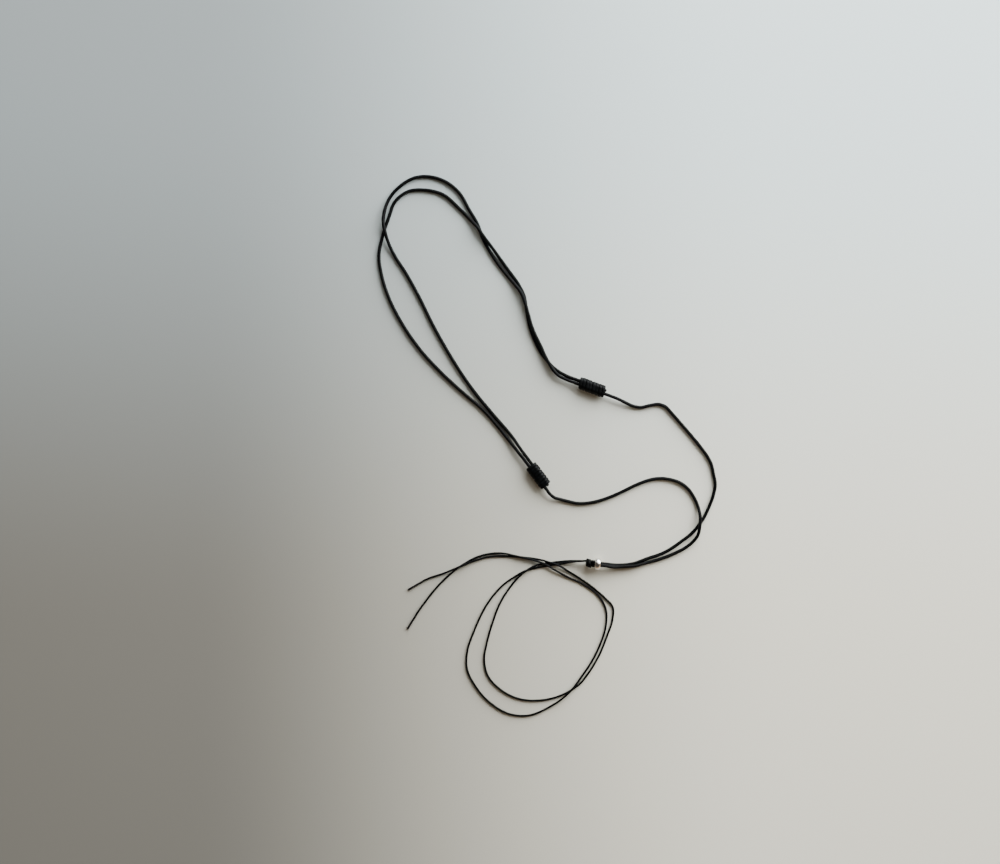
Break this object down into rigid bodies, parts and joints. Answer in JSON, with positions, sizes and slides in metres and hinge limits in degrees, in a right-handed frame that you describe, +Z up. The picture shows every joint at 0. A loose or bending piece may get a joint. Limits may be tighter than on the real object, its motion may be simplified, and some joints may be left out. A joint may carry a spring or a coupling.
{
  "type": "eyeglass retainer strap",
  "caption": "Adjustable braided neck cord with two sliding barrel knots, folded at a silver bead that holds a pair of thin tie threads.",
  "frame": {"origin": "middle of the strap's footprint, on the table that it lies on", "axes": "+Z up from the table, +Y along the strap's long way, from the tie threads' loop to the neck loop, +X to the side of the right knot"},
  "size_m": [0.1593, 0.2544, 0.0059],
  "materials": {
    "braided_cord": "black round-braided polyester cord, lightly waxed",
    "knot_cord": "the same black cord, pulled tight and flattened in the knots",
    "tie_thread": "thin black twisted thread, waxed",
    "singed_end": "melted and hardened fibre end",
    "silver": "polished silver"
  },
  "bodies": {
    "cord": {"left_front_cord": "braided_cord", "right_front_cord": "braided_cord", "left_neck_cord": "braided_cord", "right_neck_cord": "braided_cord", "cord_fold": "braided_cord", "thread_hitch": "tie_thread", "tie_thread_a": "tie_thread", "tie_thread_b": "tie_thread", "thread_tip_a": "singed_end", "thread_tip_b": "singed_end"},
    "left_knot": {"left_knot_wraps": "knot_cord", "left_knot_tail": "singed_end"},
    "right_knot": {"right_knot_wraps": "knot_cord", "right_knot_tail": "singed_end"},
    "bead": {"bead": "silver"}
  },
  "joints": [
    {"name": "left_knot_slide", "type": "slide", "parent": "cord", "child": "left_knot", "axis": [0.6, -0.8, 0], "range_m": [-0.0045, 0.0025]},
    {"name": "right_knot_slide", "type": "slide", "parent": "cord", "child": "right_knot", "axis": [0.9363, -0.3511, 0], "range_m": [-0.0045, 0.005]},
    {"name": "bead_slide", "type": "slide", "parent": "cord", "child": "bead", "axis": [0.995, -0.0995, 0], "range_m": [0, 0.002]}
  ]
}
